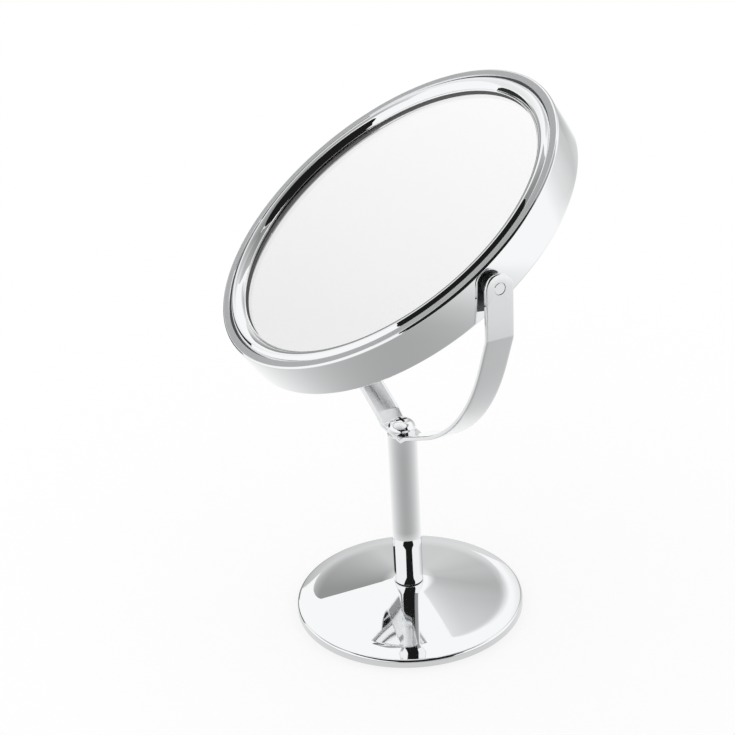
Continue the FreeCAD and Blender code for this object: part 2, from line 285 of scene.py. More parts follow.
# Chrome over steel that was linished with a fine belt along its length. The grain lies at a constant Y all along the
# bent strap. It blurs reflections to a soft grey sheen and shows as faint lines; it is drawn at about twice its real
# spacing so that it shows at all.
BELT = Grain((30.0 * MM, 0.22 * MM, 30.0 * MM), 3.0)
STRAP_CHROME = Finish("Belt-grained chrome plate", "#F2F3F4", 0.18, 1.0, BELT, NOISE_SPAN, (0.14, 0.22), BELT, 0.5,
                      0.004 * MM)
# The same, rubbed smoother by the former that it was bent round: a clearer reflection, still a little blurred.
RUBBED_CHROME = Finish("Rubbed chrome plate", "#F2F3F4", 0.10, 1.0, BELT, NOISE_SPAN, (0.06, 0.14), BELT, 0.5,
                       0.004 * MM)
# Chrome over the band's turned-in edges, faced in a lathe. The tool leaves rings too fine to see one by one; they take
# the mirror off the face and leave an even grey.
LATHE = Rings(PIVOT_HEIGHT, HEAD_TILT, 0.12 * MM)
SATIN_CHROME = Finish("Satin turned chrome plate", "#C0C1C2", 0.36, 1.0, LATHE, NOISE_SPAN, (0.33, 0.39), LATHE, 0.5,
                      0.003 * MM)
# Clear float glass, through which the silver on its back is seen. Its thickness sets a rim and the rim's reflection
# apart, so a dark line runs round the mirror where one sees under the rim, which is painted dark as shade, and
# wiping leaves faint smears.
GLASS = Finish("Float glass", "#FEFEFE", 0.0, 0.0, Grain((22.0 * MM, 22.0 * MM / 0.3, 22.0 * MM / 0.3), 5.0),
               (0.55, 0.8), (0.0, 0.02), others=(("Transmission Weight", 1.0), ("IOR", 1.52)))
# Pressed wool: matted fibres with a soft nap that catches light at its edges.
FELT = Finish("Pressed wool felt", "#44464A", 0.95, relief=Grain((0.5 * MM,) * 3, 6.0, 1.5), depth=0.15 * MM,
              tones=("#26272A", "#44464A"), others=(("Sheen Weight", 0.35),))
# Laid on the glass by a chemical bath: a true mirror with no grain that shows.
SILVER = speckled("Mirror silver", ("#FDFDFD", "#FCFCFC"), 0.0, 1.0, 30.0 * MM, 0.0)
# Left as pressed, without plate: dull and dark, with a fine mottle. Its darkness is painted shade inside the band
# and the bead rings, under the rings' seats on the glass, in the screw's cross and inside the strap's tips; at the
# post's foot it is a dark joint.
RAW_STEEL_AND_SHADE = speckled("Raw pressed steel and painted shade", ("#57585A", "#66676A"), 0.5, 1.0, 0.4 * MM, 0.002 * MM)
# Cast in sand: dark grey and coarse.
IRON = speckled("Grey cast iron", ("#4A4B4D", "#5E6062"), 0.75, 0.4, 0.8 * MM, 0.05 * MM)
# Turned or stamped and plated in a barrel: pale and half bright.
ZINC_STEEL = speckled("Zinc plated steel", ("#AEB4B8", "#C4C9CC"), 0.32, 1.0, 0.6 * MM, 0.002 * MM)
# Rolled from waste pulp: a flecked, matt grey.
GREY_BOARD = speckled("Grey board", ("#8E8B85", "#A5A19A"), 0.9, 0.0, 0.7 * MM, 0.02 * MM)
# Blown and cut from a sheet: pale, with small open cells.
FOAM = speckled("Polyethylene foam", ("#D9D9D6", "#F0F0EE"), 0.8, 0.0, 0.9 * MM, 0.08 * MM)
# Moulded in a lightly blasted tool: black with a low shine.
NYLON = speckled("Black moulded nylon", ("#17181A", "#1E1F21"), 0.42, 0.0, 0.5 * MM, 0.003 * MM)

# The CAD nodes inside, which keep their own meshes.
KEPT_NODES = {
    "base_weight": IRON, "base_bolt": ZINC_STEEL, "base_spring_washer": ZINC_STEEL, "base_plain_washer": ZINC_STEEL,
    "post_foot_insert": ZINC_STEEL, "post_top_insert": ZINC_STEEL, "right_stud_plate": ZINC_STEEL,
    "left_stud_plate": ZINC_STEEL, "backing_board": GREY_BOARD, "foam_ring": FOAM,
}


def dress_kept_nodes() -> None:
    """Gives each CAD node that keeps its mesh its material."""
    for name, finish in KEPT_NODES.items():
        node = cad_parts[name]
        node.data.materials.clear()
        node.data.materials.append(finish.material())
        LOG.info("%s keeps its CAD mesh, in %s", name, finish.name)


class Section:
    """A half section in the XZ plane, drawn from point to point and spun about the Z axis."""

    def __init__(self, x: float, z: float) -> None:
        """Starts the outline at a point."""
        self.mesh = bmesh.new()
        self.first = self.tip = self.mesh.verts.new((x, 0.0, z))

    def line(self, x: float, z: float) -> "Section":
        """Draws a straight line to a point.

        Args:
            x: the end's distance from the axis.
            z: the end's height.

        Returns:
            The section itself.
        """
        drawn = bmesh.ops.extrude_vert_indiv(self.mesh, verts=[self.tip])
        self.tip = drawn["verts"][0]
        bmesh.ops.translate(self.mesh, verts=[self.tip], vec=Vector((x, 0.0, z)) - self.tip.co)
        return self

    def arc(self, x: float, z: float, sag: float, steps: int = 8) -> "Section":
        """Draws an arc to a point.

        Args:
            x: the end's distance from the axis.
            z: the end's height.
            sag: how far the arc bulges to the left of the way there.
            steps: how many chords it has.

        Returns:
            The section itself.
        """
        chord = Vector((x, 0.0, z)) - self.tip.co
        half = chord.length / 2
        radius = (half**2 + sag**2) / (2 * sag)
        left = Vector((-chord.z, 0.0, chord.x)).normalized()
        centre = self.tip.co + chord / 2 + left * (sag - radius)
        angle = 4 * math.atan(sag / half)
        spun = bmesh.ops.spin(self.mesh, geom=[self.tip], cent=centre, axis=DEPTH, angle=angle, steps=steps)
        self.tip = next(v for v in spun["geom_last"] if isinstance(v, BMVert))
        return self

    def bow(self, run: float, start: float, end: float, steps: int) -> "Section":
        """Draws a rounded run towards the axis.

        Args:
            run: how much nearer to the axis it ends.
            start: its fall at the start, in degrees; a rise is negative.
            end: its fall at the end.
            steps: how many chords it has.

        Returns:
            The section itself.
        """
        fall, turn = math.radians(start + end) / 2, math.radians(end - start)
        sag = run / math.cos(fall) / 2 * math.tan(turn / 4)
        return self.arc(self.tip.co.x - run, self.tip.co.z - run * math.tan(fall), -sag, steps)

    def close(self) -> "Section":
        """Joins the outline's end to its start."""
        self.mesh.edges.new((self.tip, self.first))
        return self

    def spun(self, segments: int) -> BMesh:
        """Spins the outline a full turn.

        Args:
            segments: how many faces go round.

        Returns:
            The closed shape, with its faces outwards.
        """
        outline = self.mesh.verts[:] + self.mesh.edges[:]
        bmesh.ops.spin(self.mesh, geom=outline, cent=(0.0, 0.0, 0.0), axis=UP, angle=math.tau, steps=segments,
                       use_merge=True)
        bmesh.ops.remove_doubles(self.mesh, verts=self.mesh.verts[:], dist=WELD)
        bmesh.ops.recalc_face_normals(self.mesh, faces=self.mesh.faces[:])
        return self.mesh


def cut(shape: BMesh, tool: BMesh) -> BMesh:
    """Cuts one closed shape out of another.

    Args:
        shape: what is cut.
        tool: what is taken away.

    Returns:
        The cut shape; the two given ones are freed.
    """
    work, cutter = (as_object(mesh, "cutting") for mesh in (shape, tool))
    boolean = work.modifiers.new("cut", "BOOLEAN")
    boolean.operation, boolean.solver, boolean.object = "DIFFERENCE", "EXACT", cutter
    bpy.context.view_layer.update()
    result = bpy.data.meshes.new_from_object(work.evaluated_get(bpy.context.evaluated_depsgraph_get()))
    made = bmesh.new()
    made.from_mesh(result)
    for used in (result, work.data, cutter.data):
        bpy.data.meshes.remove(used)
    return made


def add_piece(mesh: BMesh, name: str, node: str, body: Body, slot: str, *finishes: Finish) -> None:
    """Makes a piece of a mesh and lets it stand for a CAD node.

    Args:
        mesh: the finished shape in place; it is freed.
        name: the piece's name.
        node: the CAD node that it replaces.
        body: the body that it rides on.
        slot: the record's material slot; it is not used.
        finishes: its finishes, in the order of the faces' material indices.
    """
    for face in mesh.faces:
        face.smooth = True
    for edge in mesh.edges:
        edge.smooth = len(edge.link_faces) == 2 and edge.calc_face_angle(0.0) < SHARP_ANGLE
    piece = as_object(mesh, name)
    for finish in finishes:
        piece.data.materials.append(finish.material())
    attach(piece, body.value)
    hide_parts(node)
    LOG.info("%s stands for %s on %s: %d faces", name, node, body.value, len(piece.data.polygons))


@dataclass
class Base:
    """Pressed shell over a cast weight, on a felt pad."""

    radius: float = 37.5 * MM
    wall: float = 1.0 * MM
    skirt_lift: float = 0.4 * MM
    rim_height: float = 3.0 * MM
    rim_width: float = 6.0 * MM
    shoulder_round: float = 0.9 * MM
    dish_rise: float = 5.3 * MM
    dish_ease: float = 2.1 * MM
    boss_radius: float = 5.15 * MM
    crown_reach: float = 3.85 * MM
    crown_rise: float = 0.5 * MM
    crown_sag: float = 0.1 * MM
    boss_thickness: float = 1.6 * MM
    bolt_hole: float = 2.75 * MM
    pad_thickness: float = 1.2 * MM
    pad_inset: float = 0.6 * MM
    pad_round: float = 0.3 * MM
    segments: int = 224

    @property
    def top(self) -> float:
        """The height of the post's seat."""
        return self.rim_height + self.dish_rise + self.crown_rise

    def shell(self) -> BMesh:
        """Draws the shell's wall from the skirt over the dish to the boss and back under it.

        Returns:
            The shell.
        """
        crown = self.boss_radius + self.crown_reach
        dish = self.radius - self.rim_width
        dish_top = self.rim_height + self.dish_rise
        slope = math.atan2(self.dish_rise, dish - crown)
        shoulder = self.rim_height - self.shoulder_round
        section = Section(self.radius - self.wall, self.skirt_lift).line(self.radius, self.skirt_lift)
        section.line(self.radius, shoulder)
        section.arc(self.radius - self.shoulder_round, self.rim_height, -self.shoulder_round * QUARTER_SAG)
        section.line(dish + self.dish_ease, self.rim_height)
        section.arc(dish - self.dish_ease * math.cos(slope), self.rim_height + self.dish_ease * math.sin(slope),
                    self.dish_ease * math.cos(slope / 2) * math.tan(slope / 4), 12)
        section.line(crown, dish_top).arc(self.boss_radius, self.top, -self.crown_sag, 12)
        section.line(self.bolt_hole, self.top).line(self.bolt_hole, self.top - self.boss_thickness)
        section.line(self.boss_radius - self.wall, self.top - self.boss_thickness)
        section.line(crown, dish_top - self.wall).line(dish, self.rim_height - self.wall)
        section.line(self.radius - self.wall, self.rim_height - self.wall)
        return section.close().spun(self.segments)

    def pad(self) -> BMesh:
        """Draws the felt disc with softened edges.

        Returns:
            The pad.
        """
        edge = self.radius - self.wall - self.pad_inset
        sag = -self.pad_round * QUARTER_SAG
        section = Section(0.0, 0.0).line(edge - self.pad_round, 0.0).arc(edge, self.pad_round, sag, 4)
        section.line(edge, self.pad_thickness - self.pad_round)
        section.arc(edge - self.pad_round, self.pad_thickness, sag, 4).line(0.0, self.pad_thickness)
        return section.spun(self.segments)

    def build(self) -> None:
        """Builds and dresses the base."""
        add_piece(self.shell(), "dished_shell", "base_shell", Body.STAND, "chrome", CHROME)
        add_piece(self.pad(), "felt_disc", "base_pad", Body.STAND, "felt", FELT)


@dataclass
class Post:
    """Straight steel tube between the base and the yoke."""

    radius: float = 4.75 * MM
    wall: float = 1.0 * MM
    length: float = 54.5 * MM
    end_round: float = 0.2 * MM
    neck_height: float = 0.3 * MM
    neck_depth: float = 0.5 * MM
    segments: int = 128

    def tube(self, foot: float) -> BMesh:
        """Draws the tube's wall with broken edges and a small neck at the foot, which takes the second finish.

        Args:
            foot: the height that it stands at.

        Returns:
            The tube.
        """
        top, edge = foot + self.length, foot + self.neck_height
        inside, neck = self.radius - self.wall, self.radius - self.neck_depth
        sag = -self.end_round * QUARTER_SAG
        section = Section(inside, foot).line(neck, foot).line(neck, edge).line(self.radius - self.end_round, edge)
        section.arc(self.radius, edge + self.end_round, sag, 4).line(self.radius, top - self.end_round)
        section.arc(self.radius - self.end_round, top, sag, 4).line(inside, top)
        mesh = section.close().spun(self.segments)
        for face in mesh.faces:
            face.material_index = int(face.calc_center_median().z < edge + WELD)
        return mesh

    def build(self, foot: float) -> None:
        """Builds and dresses the post, standing at a height."""
        add_piece(self.tube(foot), "post", "post_tube", Body.STAND, "chrome", CHROME, RAW_STEEL_AND_SHADE)


@dataclass
class Yoke:
    """Steel strap bent to a U on the post, and the screw that clamps it."""

    seat_top: float = 64.6 * MM
    pivot_height: float = PIVOT_HEIGHT
    width: float = 8.4 * MM
    thickness: float = 1.3 * MM
    edge_round: float = 0.35 * MM
    edge_steps: int = 3
    arm_inner: float = 60.8 * MM
    arm_straight: float = 14.3 * MM
    tip_depth: float = 8.4 * MM
    knee_radius: float = 67.40533 * MM
    knee_angle: float = math.radians(45.2)
    seat_half_length: float = 6.5 * MM
    step_run: float = 3.4 * MM
    step_rise: float = 2.4 * MM
    bend_runs: tuple[float, ...] = (0.4 * MM, 0.3 * MM, 26.5 * MM, 0.4 * MM)
    bend_steps: tuple[int, ...] = (6, 4, 40, 6)
    pivot_hole: float = 1.75 * MM
    screw_hole: float = 2.75 * MM
    ring_steps: int = 48
    side_share: float = 0.99
    rim_share: float = 0.9
    screw_radius: float = 2.5 * MM
    screw_length: float = 12.0 * MM
    head_radius: float = 4.5 * MM
    head_height: float = 3.3 * MM
    head_side: float = 1.2 * MM
    cross_length: float = 5.0 * MM
    cross_width: float = 1.1 * MM
    cross_depth: float = 1.7 * MM
    cross_taper: float = 0.55
    segments: int = 96

    def corners(self) -> list[Vector]:
        """Works out the corners of the strap's inner face from the seat's right end up to the arm's crease.

        Returns:
            The corners, from the seat up.
        """
        knee = Vector((math.cos(self.knee_angle), 0.0, -math.sin(self.knee_angle))) * self.knee_radius
        return [
            Vector((self.seat_half_length, 0.0, self.seat_top)),
            Vector((self.seat_half_length + self.step_run, 0.0, self.seat_top + self.step_rise)),
            knee + UP * self.pivot_height,
            Vector((self.arm_inner, 0.0, self.pivot_height - self.arm_straight)),
        ]

    def square_up(self, verts: list[BMVert], centre: Vector, radial: tuple[Vector, Vector]) -> None:
        """Moves points from a circle round a hole out to the square that holds the circle.

        Args:
            verts: the points on the circle.
            centre: the hole's centre.
            radial: the two directions of the square's sides.
        """
        for vert in verts:
            offset = vert.co - centre
            reach = max(abs(offset.dot(side)) for side in radial)
            vert.co = centre + offset * (self.width / 2 / reach)

    def hole_ring(self, mesh: BMesh, centre: Vector, axis: Vector, hole: float, turns: float) -> list[BMVert]:
        """Spins a flat ring round a hole, from the front.

        Args:
            mesh: the mesh that takes it.
            centre: the hole's centre.
            axis: the hole's axis.
            hole: its radius.
            turns: the share of a full turn.

        Returns:
            The points on the ring's outer circle.
        """
        before = set(mesh.verts)
        ends = [mesh.verts.new(centre - DEPTH * reach) for reach in (hole, self.width / 2)]
        edge = mesh.edges.new(ends)
        bmesh.ops.spin(mesh, geom=ends + [edge], cent=centre, axis=axis, angle=math.tau * turns,
                       steps=round(self.ring_steps * turns), use_merge=turns == 1.0)
        middle = (hole + self.width / 2) / 2
        return [v for v in mesh.verts if v not in before and (v.co - centre).length > middle]

    def strap(self) -> BMesh:
        """Builds half of the strap's inner face from the seat up, mirrors it and gives it its thickness.

        Returns:
            The strap.
        """
        mesh = bmesh.new()
        seat = UP * self.seat_top
        rim = self.hole_ring(mesh, seat, UP, self.screw_hole, 0.5)
        self.square_up(rim, seat, (ACROSS, DEPTH))
        end = [v for v in rim if v.co.x > self.width / 2 - WELD]
        front = [e for e in mesh.edges if all(v in end for v in e.verts)]
        corners = self.corners() + [Vector((self.arm_inner, 0.0, self.pivot_height - self.width / 2))]
        here = seat + ACROSS * (self.width / 2)
        for corner, onward, run, steps in zip(corners, corners[1:], self.bend_runs, self.bend_steps):
            front, here = self.bend(mesh, front, here, corner, onward, run, steps)
        tip = Vector((self.arm_inner, 0.0, self.pivot_height - self.tip_depth))
        self.stretch(mesh, self.stretch(mesh, front, tip - here), corners[-1] - tip)
        pivot = Vector((self.arm_inner, 0.0, self.pivot_height))
        rim = self.hole_ring(mesh, pivot, ACROSS, self.pivot_hole, 1.0)
        self.square_up([v for v in rim if v.co.z < self.pivot_height], pivot, (DEPTH, UP))
        bmesh.ops.remove_doubles(mesh, verts=mesh.verts[:], dist=WELD)
        bmesh.ops.mirror(mesh, geom=mesh.verts[:] + mesh.edges[:] + mesh.faces[:], axis="X", merge_dist=WELD)
        bmesh.ops.recalc_face_normals(mesh, faces=mesh.faces[:])
        lowest = min(mesh.faces, key=lambda face: face.calc_center_median().z)
        if lowest.normal.z > 0:
            bmesh.ops.reverse_faces(mesh, faces=mesh.faces[:])
        bmesh.ops.solidify(mesh, geom=mesh.faces[:], thickness=-self.thickness)
        bmesh.ops.recalc_face_normals(mesh, faces=mesh.faces[:])
        self.round_edges(mesh)
        self.mark_inside(mesh)
        return mesh

    def bend(self, mesh: BMesh, front: list[BMEdge], here: Vector, corner: Vector, onward: Vector, run: float,
             steps: int) -> tuple[list[BMEdge], Vector]:
        """Carries the strap straight on to a bend and round it.

        Args:
            mesh: the strap so far.
            front: the edges of its open end.
            here: where that end is.
            corner: where the two straight runs would meet.
            onward: the next corner.
            run: the length of the bend along each run, on its inner side.
            steps: how many faces the bend has.

        Returns:
            The edges of the new end, and where it is.
        """
        arrive, leave = (corner - here).normalized(), (onward - corner).normalized()
        turn = arrive.angle(leave)
        rises = arrive.cross(leave).y < 0
        radius = run / math.tan(turn / 2) + (0.0 if rises else self.thickness)
        reach = radius * math.tan(turn / 2)
        start = corner - arrive * reach
        front = self.stretch(mesh, front, start - here)
        inward = Vector((-arrive.z, 0.0, arrive.x)) * (radius if rises else -radius)
        ends = {v for e in front for v in e.verts}
        spun = bmesh.ops.spin(mesh, geom=[*ends, *front], cent=start + inward, axis=DEPTH,
                              angle=-turn if rises else turn, steps=steps)
        last = {v for v in spun["geom_last"] if isinstance(v, BMVert)}
        front = [e for e in mesh.edges if all(v in last for v in e.verts)]
        return front, corner + leave * reach

    @staticmethod
    def stretch(mesh: BMesh, front: list[BMEdge], way: Vector) -> list[BMEdge]:
        """Carries the strap straight on from its open end.

        Args:
            mesh: the strap so far.
            front: the edges of its open end.
            way: how far and in which direction.

        Returns:
            The edges of the new end.
        """
        made = bmesh.ops.extrude_edge_only(mesh, edges=front)["geom"]
        ends = {v for v in made if isinstance(v, BMVert)}
        bmesh.ops.translate(mesh, verts=list(ends), vec=way)
        return [e for e in mesh.edges if all(v in ends for v in e.verts)]

    def round_edges(self, mesh: BMesh) -> None:
        """Rounds the strap's long edges and its tips, but not its holes.

        Args:
            mesh: the strap.
        """
        half = self.width / 2
        sharp = []
        for edge in mesh.edges:
            middle = (edge.verts[0].co + edge.verts[1].co) / 2
            rise = middle.z - self.pivot_height
            on_tip = rise > 0 and math.hypot(middle.y, rise) > self.rim_share * half
            if edge.calc_face_angle(0.0) > SHARP_ANGLE and (abs(middle.y) > self.side_share * half or on_tip):
                sharp.append(edge)
        bmesh.ops.bevel(mesh, geom=sharp, offset=self.edge_round, offset_type="OFFSET", segments=self.edge_steps,
                        profile=0.5, affect="EDGES", material=-1, clamp_overlap=True)

    def mark_inside(self, mesh: BMesh) -> None:
        """Gives the strap's inner face the second finish, and the inside of its tips the third, dark as painted shade
        between the tips and the band.

        Args:
            mesh: the strap.
        """
        # The inside of each tip is painted dark, as the shade between the tip and the band.
        for face in mesh.faces:
            middle = face.calc_center_median()
            inward = Vector((-middle.x, 0.0, self.pivot_height - middle.z)).normalized()
            on_tip = middle.z > self.pivot_height - self.tip_depth and abs(abs(middle.x) - self.arm_inner) < WELD
            face.material_index = 2 if on_tip else int(face.normal.dot(inward) > FACING)

    def screw(self) -> BMesh:
        """Spins the screw and cuts the cross into its head; the cross takes the second finish, painted dark as
        shade in the recess.

        Returns:
            The screw.
        """
        top = self.seat_top + self.head_height
        side = self.seat_top + self.head_side
        bottom = self.seat_top - self.screw_length
        sag = -(self.head_height - self.head_side) * QUARTER_SAG
        section = Section(0.0, bottom).line(self.screw_radius, bottom).line(self.screw_radius, self.seat_top)
        section.line(self.head_radius, self.seat_top).line(self.head_radius, side)
        section.arc(self.cross_width, top, sag, 12).line(0.0, top)
        shape = section.spun(self.segments)
        for turn in (0.0, math.pi / 2):
            slot = bmesh.new()
            verts = bmesh.ops.create_cube(slot, size=1.0)["verts"]
            low = [v for v in verts if v.co.z < 0]
            bmesh.ops.scale(slot, verts=verts, vec=(self.cross_length, self.cross_width, 2 * self.cross_depth))
            bmesh.ops.scale(slot, verts=low, vec=(self.cross_taper, self.cross_taper, 1.0))
            bmesh.ops.rotate(slot, verts=verts, matrix=Matrix.Rotation(turn, 3, "Z"))
            bmesh.ops.translate(slot, verts=verts, vec=UP * top)
            shape = cut(shape, slot)
        # The cross's walls and floor are painted dark, as shade in the recess.
        for face in shape.faces:
            middle = face.calc_center_median()
            within = math.hypot(middle.x, middle.y) < self.cross_length / 2 and self.seat_top < middle.z < top - WELD
            walled = face.normal.z < FACING or middle.z < top - self.cross_depth / 2
            face.material_index = int(within and walled)
        return shape

    def build(self) -> None:
        """Builds and dresses the yoke and its screw."""
        add_piece(self.strap(), "strap", "yoke_strap", Body.STAND, "satin_chrome", STRAP_CHROME, RUBBED_CHROME,
                  RAW_STEEL_AND_SHADE)
        add_piece(self.screw(), "pan_screw", "yoke_screw", Body.STAND, "chrome", CHROME, RAW_STEEL_AND_SHADE)


@dataclass
class Head:
    """Rolled band, a bead ring and a glass each side, and the pivots."""

    height: float = PIVOT_HEIGHT
    tilt: float = HEAD_TILT
    radius: float = 58.8 * MM
    width: float = 12.0 * MM
    wall: float = 0.8 * MM
    corner: float = 0.7 * MM
    flange: float = 2.6 * MM
    groove: float = 0.4 * MM
    bezel_wall: float = 0.7 * MM
    bezel_fit: float = 0.3 * MM
    bezel_foot: float = 0.35 * MM
    bezel_edge: float = 0.05 * MM
    bezel_gap: float = 0.03 * MM
    bead_width: float = 4.3 * MM
    # The bead's runs from the groove to the foot, and its falls in degrees where they start and end.
    bead_runs: tuple[float, ...] = (1.2 * MM, 0.162 * MM, 2.938 * MM)
    bead_falls: tuple[float, ...] = (-60.0, -28.0, 4.0, 58.0)
    bead_steps: tuple[int, ...] = (10, 6, 18)
    glass_recess: float = 1.8 * MM
    glass_thickness: float = 1.95 * MM
    glass_overlap: float = 3.0 * MM
    glass_chamfer: float = 0.2 * MM
    magnifier_curve: float = 700.0 * MM
    magnifier_steps: int = 24
    stud_radius: float = 1.7 * MM
    stud_chamfer: float = 0.2 * MM
    stud_head_radius: float = 3.0 * MM
    stud_head_thickness: float = 1.0 * MM
    stud_end: float = 62.1 * MM
    stud_seat: float = 57.0 * MM
    bush_radius: float = 3.2 * MM
    bush_hole: float = 1.75 * MM
    bush_start: float = 58.72 * MM
    bush_end: float = 60.75 * MM
    bush_round: float = 0.25 * MM
    segments: int = 256
    small_segments: int = 64

    def __post_init__(self) -> None:
        """Works out the places that follow from the sizes."""
        self.face = self.width / 2
        self.flange_inner = self.radius - self.flange
        self.flange_under = self.face - self.wall
        self.glass_face = self.face - self.glass_recess
        self.bead_outer = self.flange_inner - self.groove
        self.bead_inner = self.bead_outer - self.bead_width
        self.glass_radius = self.bead_inner + self.glass_overlap

    def placed(self, mesh: BMesh, aspect: Aspect = Aspect.FRONT) -> BMesh:
        """Sets a shape, drawn about the Z axis, between the yoke's arms.

        Args:
            mesh: the shape, with the head's centre at the origin.
            aspect: the face that it belongs to.

        Returns:
            The same shape, in place.
        """
        turn = self.tilt if aspect is Aspect.FRONT else self.tilt + math.pi
        place = Matrix.Translation(UP * self.height) @ Matrix.Rotation(turn, 4, "X")
        bmesh.ops.transform(mesh, matrix=place, verts=mesh.verts[:])
        return mesh

    def band(self) -> BMesh:
        """Draws the band's wall with both edges turned in; their faces take the second finish, the inside the third,
        which is painted dark as shade.

        Returns:
            The band.
        """
        inside = self.radius - self.wall
        sag = -self.corner * QUARTER_SAG
        section = Section(self.flange_inner, -self.face).line(self.radius - self.corner, -self.face)
        section.arc(self.radius, self.corner - self.face, sag).line(self.radius, self.face - self.corner)
        section.arc(self.radius - self.corner, self.face, sag).line(self.flange_inner, self.face)
        section.line(self.flange_inner, self.flange_under).line(inside, self.flange_under)
        section.line(inside, -self.flange_under).line(self.flange_inner, -self.flange_under)
        mesh = section.close().spun(self.segments)
        # The inside of the band is painted dark, as shade inside the head.
        for face in mesh.faces:
            middle = face.calc_center_median()
            reach, height = math.hypot(middle.x, middle.y), abs(middle.z)
            if height > self.face - WELD:
                face.material_index = 1
            elif reach < inside + WELD and height < self.flange_under + WELD:
                face.material_index = 2
        return self.placed(mesh)

    def bezel(self, aspect: Aspect) -> BMesh:
        """Draws the hollow bead ring, its lip under the band's edge and its foot; its inside and its seat on the glass
        take the second finish, painted dark as shade.

        Args:
            aspect: the face that it is on.

        Returns:
            The bezel.
        """
        lip = self.radius - self.wall - self.bezel_fit
        seat = self.glass_face + self.bezel_gap
        foot = seat + self.bezel_edge
        section = Section(self.bead_inner - self.bezel_foot, seat).line(self.bead_inner + self.bezel_wall, seat)
        section.line(self.bead_inner + self.bezel_wall, self.flange_under)
        section.line(self.bead_outer - self.bezel_wall, self.flange_under)
        section.line(self.bead_outer - self.bezel_wall, self.flange_under - self.bezel_wall)
        section.line(lip, self.flange_under - self.bezel_wall).line(lip, self.flange_under)
        section.line(self.bead_outer, self.flange_under)
        for run, start, end, steps in zip(self.bead_runs, self.bead_falls, self.bead_falls[1:], self.bead_steps):
            section.bow(run, start, end, steps)
        section.arc(self.bead_inner - self.bezel_foot, foot, self.bezel_foot * QUARTER_SAG, 6)
        mesh = section.close().spun(self.segments)
        # The ring's inside and its faces over the glass are painted dark, as shade in the hollow and under the rim.
        for face in mesh.faces:
            middle = face.calc_center_median()
            reach = math.hypot(middle.x, middle.y)
            inside = reach > self.bead_outer - WELD or (reach > self.bead_inner + WELD and face.normal.z < FACING)
            face.material_index = int((inside and middle.z < self.flange_under + WELD) or middle.z < seat + WELD)
        return self.placed(mesh, aspect)

    def glass(self) -> BMesh:
        """Draws the plain glass with a broken edge.

        Returns:
            The glass.
        """
        back = self.glass_face - self.glass_thickness
        edge = self.glass_radius - self.glass_chamfer
        section = Section(0.0, back).line(edge, back).line(self.glass_radius, back + self.glass_chamfer)
        section.line(self.glass_radius, self.glass_face - self.glass_chamfer).line(edge, self.glass_face)
        return self.placed(self.silvered(section.line(0.0, self.glass_face).spun(self.segments)))

    @staticmethod
    def silvered(mesh: BMesh) -> BMesh:
        """Gives the back of a glass, drawn face up, its second finish.

        Args:
            mesh: the glass.

        Returns:
            The same glass.
        """
        for face in mesh.faces:
            face.material_index = int(face.normal.z < -SQUARE_ON)
        return mesh

    def magnifier(self) -> BMesh:
        """Draws the magnifying glass, hollow on its outer face.

        Returns:
            The glass.
        """
        sink = self.magnifier_curve - math.sqrt(self.magnifier_curve**2 - self.glass_radius**2)
        face, back = self.glass_face, self.glass_face - self.glass_thickness
        # Half of a shallow dish's section bulges by a quarter of its depth.
        sag = sink / 4
        section = Section(0.0, back - sink).arc(self.glass_radius, back, -sag, self.magnifier_steps)
        section.line(self.glass_radius, face).arc(0.0, face - sink, sag, self.magnifier_steps)
        return self.placed(self.silvered(section.spun(self.segments)), Aspect.REAR)

    def on_pivot(self, mesh: BMesh, side: Side) -> BMesh:
        """Turns a shape from the Z axis to one pivot's axis and puts it there.

        Args:
            mesh: the shape.
            side: the pivot's side.

        Returns:
            The same shape, in place.
        """
        turn = Matrix.Rotation(side.value * math.pi / 2, 4, "Y")
        bmesh.ops.transform(mesh, matrix=turn, verts=mesh.verts[:])
        return self.placed(mesh)

    def stud(self) -> BMesh:
        """Draws a stud: its head inside the band and its shank out to the strap's face.

        Returns:
            The stud, about the Z axis.
        """
        low = self.stud_seat - self.stud_head_thickness
        tip = self.stud_radius - self.stud_chamfer
        section = Section(0.0, low).line(self.stud_head_radius, low).line(self.stud_head_radius, self.stud_seat)
        section.line(self.stud_radius, self.stud_seat).line(self.stud_radius, self.stud_end - self.stud_chamfer)
        section.line(tip, self.stud_end).line(0.0, self.stud_end)
        return section.spun(self.small_segments)

    def bush(self) -> BMesh:
        """Draws a bush between the band and the strap.

        Returns:
            The bush, about the Z axis.
        """
        edge = self.bush_radius - self.bush_round
        section = Section(self.bush_hole, self.bush_start).line(self.bush_radius, self.bush_start)
        section.line(self.bush_radius, self.bush_end - self.bush_round)
        section.arc(edge, self.bush_end, -self.bush_round * QUARTER_SAG, 4).line(self.bush_hole, self.bush_end)
        return section.close().spun(self.small_segments)

    def build(self) -> None:
        """Builds and dresses the head."""
        add_piece(self.band(), "rolled_band", "head_band", Body.HEAD, "chrome", CHROME, SATIN_CHROME, RAW_STEEL_AND_SHADE)
        for aspect in Aspect:
            end = aspect.name.lower()
            add_piece(self.bezel(aspect), f"{end}_bead", f"{end}_bezel", Body.HEAD, "chrome", CHROME, RAW_STEEL_AND_SHADE)
        add_piece(self.glass(), "plain_glass", "front_glass", Body.HEAD, "mirror", GLASS, SILVER)
        add_piece(self.magnifier(), "magnifying_glass", "rear_glass", Body.HEAD, "mirror", GLASS, SILVER)
        for side in Side:
            hand = side.name.lower()
            stud, bush = self.on_pivot(self.stud(), side), self.on_pivot(self.bush(), side)
            add_piece(stud, f"{hand}_stud", f"{hand}_pivot_stud", Body.HEAD, "steel", CHROME)
            add_piece(bush, f"{hand}_bush", f"{hand}_pivot_bush", Body.HEAD, "nylon", NYLON)


